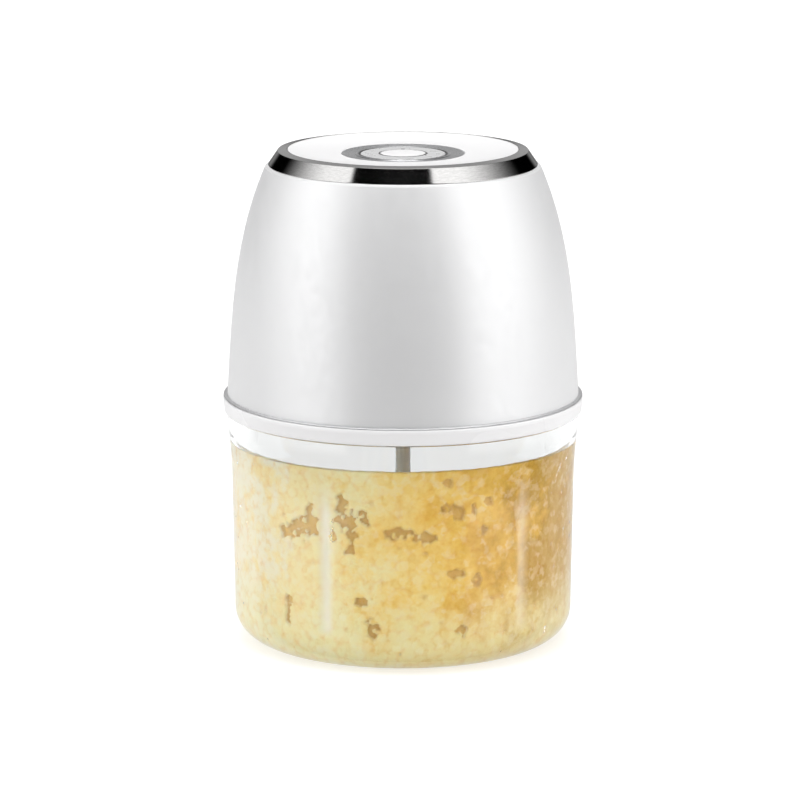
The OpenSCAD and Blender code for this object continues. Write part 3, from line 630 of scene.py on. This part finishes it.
def cut_port(obj):
    """The pocket that the port's cover lies in, its hinge barrel and the hole to the socket."""
    low_z, high_z = hinge_z - 8.8, hinge_z + 0.4
    mid, half_h = (low_z + high_z) / 2, (high_z - low_z) / 2
    ring = rounded_rect(POCKET_HALF_W, half_h, 0.9)
    inner = [(x, housing_r(mid + z) - POCKET_DEPTH, mid + z) for x, z in ring]
    outer = [(x, housing_r(mid + z) + 3, mid + z) for x, z in ring]
    cut(obj, cutter("pocket_tool", inner, outer))
    barrel = arc(0, 0, 0.95, 0, 330, 11)
    ends = [[(x, hinge_y + y, hinge_z + z) for y, z in barrel] for x in (-POCKET_HALF_W, POCKET_HALF_W)]
    cut(obj, cutter("barrel_tool", *ends))
    slot = rounded_rect(4.95, 2.05, 1.6)
    cut(obj, cutter("slot_tool", [(x, 25, port_z + z) for x, z in slot], [(x, 45, port_z + z) for x, z in slot]))


cut_port(housing)
housing.data.shade_smooth()
housing.data.set_sharp_from_angle(angle=math.radians(30))
housing.data.materials.append(pearl)
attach(housing, "motor_unit")
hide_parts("housing")


def lathed_piece(name, outline, body, node, mat, radius, steps, angles=256):
    """A turned piece that takes a CAD node's place."""
    obj = lathe(name, soften(outline, radius, steps), angles)
    obj.data.materials.append(mat)
    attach(obj, body)
    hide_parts(node)
    return obj


unit_z = low("seam_ring").z
seam_top = high("seam_ring").z
outline = [(40.6, unit_z), (43.84, unit_z), (43.9, unit_z + 0.08), (43.8, unit_z + 0.16), (42.95, seam_top),
           (40.6, seam_top)]
lathed_piece("seam_ring_turned", outline, "motor_unit", "seam_ring", seam_chrome, 0.03, 3)
ring_top = high("trim_ring").z
ring_foot = housing_r(housing_top) - TOP_EDGE
outline = [(ring_foot, housing_top, 0.12), (30.4, ring_top - 0.36, 0.1), (28.1, ring_top, 0.1),
           (28.1, ring_top - 1.7, 0), (26.8, ring_top - 1.7, 0), (26.8, housing_top - 4, 0.2),
           (29.6, housing_top - 4, 0.2), (30.0, housing_top - 3.6, 0.1), (30.0, housing_top, 0)]
lathed_piece("trim_ring_turned", outline, "motor_unit", "trim_ring", chrome, 0.1, 4, 320)
DISH = 1.1  # how far the top plate dips to the button's bezel
bezel_z = ring_top - DISH


def make_top_plate():
    r_out, r_in = 28.0, 14.95
    dish = [(r_out - (r_out - r_in) * t, ring_top - DISH * t * (2 - t)) for t in np.linspace(0.04, 0.97, 24)]
    outline = [(r_out, ring_top - 1.65), (r_out, ring_top - 0.3), (27.93, ring_top - 0.1)] + dish
    outline += [(r_in + 0.12, bezel_z), (r_in, bezel_z - 0.14), (r_in, bezel_z - 3.6), (16.3, bezel_z - 3.6),
                (16.7, bezel_z - 1.5), (26.7, ring_top - 2.0), (26.7, ring_top - 1.65)]
    return lathe("top_plate_dished", outline)


top_plate = make_top_plate()
top_plate.data.materials.append(white)
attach(top_plate, "motor_unit")
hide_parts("top_plate")

outline = [(10.75, bezel_z - 0.35, 0.05), (10.95, bezel_z - 0.12, 0.1), (11.5, bezel_z - 0.12, 0.15),
           (11.75, bezel_z - 0.28, 0.1), (14.3, bezel_z - 0.12, 0.2), (14.75, bezel_z, 0.12),
           (14.9, bezel_z - 0.1, 0.05), (14.9, bezel_z - 3.6, 0), (12.9, bezel_z - 3.6, 0), (12.9, bezel_z - 2.2, 0),
           (10.75, bezel_z - 2.2, 0)]
lathed_piece("button_bezel_spun", outline, "motor_unit", "button_bezel", spun, 0.1, 3)

button_z = bezel_z - 0.1
stem_low = low("power_button").z
outline = [(0, stem_low), (2.2, stem_low, 0.2), (2.2, button_z - 3.4, 0.3), (11.8, button_z - 3.4, 0.2),
           (11.8, button_z - 2.2, 0.2), (10.35, button_z - 2.2, 0.1), (10.35, button_z, 0.35),
           (5.95, button_z - 0.03, 0.05), (5.95, button_z - 0.6, 0), (0, button_z - 0.6)]
lathed_piece("button_ring", outline, "button", "power_button", silver, 0.15, 4)

outline = [(0, button_z - 0.6), (5.5, button_z - 0.6, 0), (5.5, button_z + 0.06, 0.2), (3.5, button_z + 0.16, 1.5),
           (0, button_z + 0.2)]
lathed_piece("button_cap_domed", outline, "button", "button_cap", white, 0.1, 4)


def gap_shadow_ring(name, inner, outer, top, body):
    """A thin dark ring, a painted shadow: it stands in for the shade in the narrow gap round a round piece."""
    ring = lathe(name, soften([(inner, top - 0.6), (inner, top), (outer, top), (outer, top - 0.6)], 0.06, 2), 192)
    ring.data.materials.append(gap_shadow_dark_metal)
    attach(ring, body)


# Painted shadow: dark rings in the gap round the button and round its cap.
gap_shadow_ring("button_gap_shadow_ring", 10.42, 10.75, bezel_z - 0.14, "motor_unit")
gap_shadow_ring("button_cap_shadow_ring", 5.5, 5.95, button_z + 0.02, "button")

# ---- springs ----


def squashed_spring(node):
    """The node's own coil as a piece of its own, which rides with the motor unit."""
    coil = bpy.data.objects.new(node + "_coil", nodes[node].data.copy())
    scene.collection.objects.link(coil)
    coil.data.materials.clear()
    coil.data.materials.append(steel)
    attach(coil, "motor_unit")
    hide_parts(node)
    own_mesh(coil)


squashed_spring("button_spring")

# ---- carried-over CAD pieces ----

LOOKS = {
    white: "motor_end_cap switch_plunger interlock_pin base_cover",
    steel: "pivot_pin spindle_clip base_screws motor_can motor_screws battery_tabs board_screws charge_socket "
    "interlock_spring cover_hinge_pin motor_shaft lower_blade middle_blade upper_blade",
    spindle_steel: "drive_spindle",
    bronze: "hub_bush motor_bushes",
    copper: "armature_windings commutator",
    ferrite: "motor_magnets",
    laminated: "motor_armature",
    black: "motor_frame board_components power_switch interlock_switch leads_black",
    grey: "blade_hub drive_coupling lid_bush",
    rubber: "lid_gasket port_cover",
    sleeve: "battery",
    red: "leads_red",
    dark_lens: "indicator_lens",
    board_material(): "circuit_board",
}
for mat, names in LOOKS.items():
    for name in names.split():
        mesh = nodes[name].data
        mesh.materials.clear()
        mesh.materials.append(mat)

# ---- floor, lights, camera ----

FLOOR_HALF, FLOOR_Z = 4, -0.0002  # metres
# How brightly the floor glows: for what it lights, for the camera, through clear plastic, and for light inside it.
FLOOR_GLOW, FLOOR_SEEN, FLOOR_THROUGH, FLOOR_INSIDE = 0.2, 0.6, 0.2, 0.7
# The studio's lights, the card behind, how much brighter its lower part is, and the light from everywhere.
SIDE_LEFT, SIDE_RIGHT, OVERHEAD, CARD, LOW_CARD, FILL = 1.75, 1.85, 3.6, 0.45, 1.9, 0.34
# What rays inside clear plastic get: the studio so many times brighter, and a light from everywhere.
INSIDE, INSIDE_FILL = 2.5, 0.36


def seen_directly(tree):
    """1 for what the camera sees, plainly or through clear plastic, and 0 for what lights the object."""
    path = put(tree, "ShaderNodeLightPath").outputs
    bounced = calc(tree, "GREATER_THAN", calc(tree, "ADD", path["Diffuse Depth"], path["Glossy Depth"]), 0.5)
    through = calc(tree, "MULTIPLY", path["Is Transmission Ray"], calc(tree, "SUBTRACT", 1.0, bounced))
    return calc(tree, "MAXIMUM", path["Is Camera Ray"], through)


def add_floor():
    """A plain white floor. The camera sees it brighter than the object does, and shiny parts don't reflect it."""
    mat, tree, bsdf = shader("pale_floor", Roughness=0.7, Specular_IOR_Level=0.1)
    tone = noise_at(tree, place(tree), 9, 3)
    tree.links.new(ramp(tree, tone, (0.3, (0.5, 0.5, 0.5)), (0.7, (0.52, 0.52, 0.52))), bsdf.inputs["Base Color"])
    bsdf.inputs["Emission Color"].default_value = (1, 1, 1, 1)
    path = put(tree, "ShaderNodeLightPath").outputs
    glow = mix_number(tree, path["Is Transmission Ray"], FLOOR_GLOW, FLOOR_INSIDE)
    glow = mix_number(tree, seen_directly(tree), glow, FLOOR_THROUGH)
    tree.links.new(mix_number(tree, path["Is Camera Ray"], glow, FLOOR_SEEN), bsdf.inputs["Emission Strength"])
    mesh = bpy.data.meshes.new("floor")
    corners = [(x * FLOOR_HALF, y * FLOOR_HALF, FLOOR_Z) for x, y in ((-1, -1), (1, -1), (1, 1), (-1, 1))]
    mesh.from_pydata(corners, [], [(0, 1, 2, 3)])
    mesh.materials.append(mat)
    floor = bpy.data.objects.new("floor", mesh)
    floor.visible_glossy = False
    scene.collection.objects.link(floor)


def window(tree, value, rise, risen, fall, fallen):
    """1 between risen and fall, fading to 0 at rise and fallen."""
    up = {"Value": value, "From Min": rise, "From Max": risen}
    down = {"Value": value, "From Min": fall, "From Max": fallen, "To Min": 1.0, "To Max": 0.0}
    a, b = (put(tree, "ShaderNodeMapRange", k, interpolation_type="SMOOTHSTEP").outputs["Result"] for k in (up, down))
    return calc(tree, "MULTIPLY", a, b)


def make_world():
    """A studio: a tall soft light at each side, one overhead, and a pale card behind that goes on below the horizon.

    Angles are in degrees: round from the front, towards +X, and up from the horizon.
    """
    world = bpy.data.worlds.new("studio")
    world.use_nodes = True
    tree = world.node_tree
    way = put(tree, "ShaderNodeSeparateXYZ", {"Vector": put(tree, "ShaderNodeTexCoord").outputs["Generated"]}).outputs
    turn = calc(tree, "DEGREES", calc(tree, "ARCTAN2", way["X"], calc(tree, "MULTIPLY", way["Y"], -1)))
    up = calc(tree, "DEGREES", calc(tree, "ARCSINE", way["Z"]))
    to_right = calc(tree, "ADD", turn, calc(tree, "MULTIPLY", up, 0.1))
    to_left = calc(tree, "MULTIPLY", calc(tree, "ADD", turn, calc(tree, "MULTIPLY", up, 0.37)), -1)
    behind = calc(tree, "ABSOLUTE", turn)
    between = window(tree, up, -20, -11, 60, 66)
    right = calc(tree, "MULTIPLY", window(tree, to_right, 39, 45, 68, 132), SIDE_RIGHT)
    left = calc(tree, "MULTIPLY", window(tree, to_left, 39, 45, 64, 128), SIDE_LEFT)
    sides = calc(tree, "MULTIPLY", calc(tree, "ADD", right, left), between)
    overhead = calc(tree, "MULTIPLY", window(tree, up, 64, 72, 91, 92), OVERHEAD)
    card = calc(tree, "MULTIPLY", window(tree, behind, 152, 165, 181, 182), window(tree, up, -8, 9, 45, 60))
    lower = calc(tree, "MULTIPLY", window(tree, behind, 100, 125, 181, 182), window(tree, up, -91, -90, -9, -1))
    card = calc(tree, "MULTIPLY", calc(tree, "ADD", card, calc(tree, "MULTIPLY", lower, LOW_CARD)), CARD)
    studio = calc(tree, "ADD", calc(tree, "ADD", sides, overhead), card)
    path = put(tree, "ShaderNodeLightPath").outputs
    studio = calc(tree, "ADD", studio, mix_number(tree, path["Is Glossy Ray"], FILL, 0.0))
    studio = calc(tree, "MULTIPLY", studio, mix_number(tree, path["Is Transmission Ray"], 1.0, INSIDE))
    studio = calc(tree, "ADD", studio, calc(tree, "MULTIPLY", path["Is Transmission Ray"], INSIDE_FILL))
    strength = mix_number(tree, seen_directly(tree), studio, 1.0)
    background = tree.nodes["Background"]
    background.inputs["Color"].default_value = (1, 1, 1, 1)
    tree.links.new(strength, background.inputs["Strength"])
    scene.world = world


add_floor()
make_world()

# A long lens a little above the object, fitted to its outline in the photograph. In metres; the lens in millimetres.
AIM, DISTANCE, LIFT, LENS = Vector((-0.000735, 0, 0.058647)), 1.105, math.radians(11.773), 202.95
camera_data = bpy.data.cameras.new("camera")
camera_data.sensor_width = 36
camera_data.lens = LENS
camera_data.clip_end = 30
camera = bpy.data.objects.new("camera", camera_data)
back = Vector((0, -math.cos(LIFT), math.sin(LIFT)))
camera.location = AIM + back * DISTANCE
camera.rotation_mode = "QUATERNION"
camera.rotation_quaternion = (-back).to_track_quat("-Z", "Y")
scene.collection.objects.link(camera)
scene.camera = camera

scene.view_settings.view_transform = "Standard"
scene.cycles.max_bounces = 16
scene.cycles.diffuse_bounces = 6
scene.cycles.glossy_bounces = 12
scene.cycles.sample_clamp_indirect = 4
scene.cycles.transmission_bounces = 12
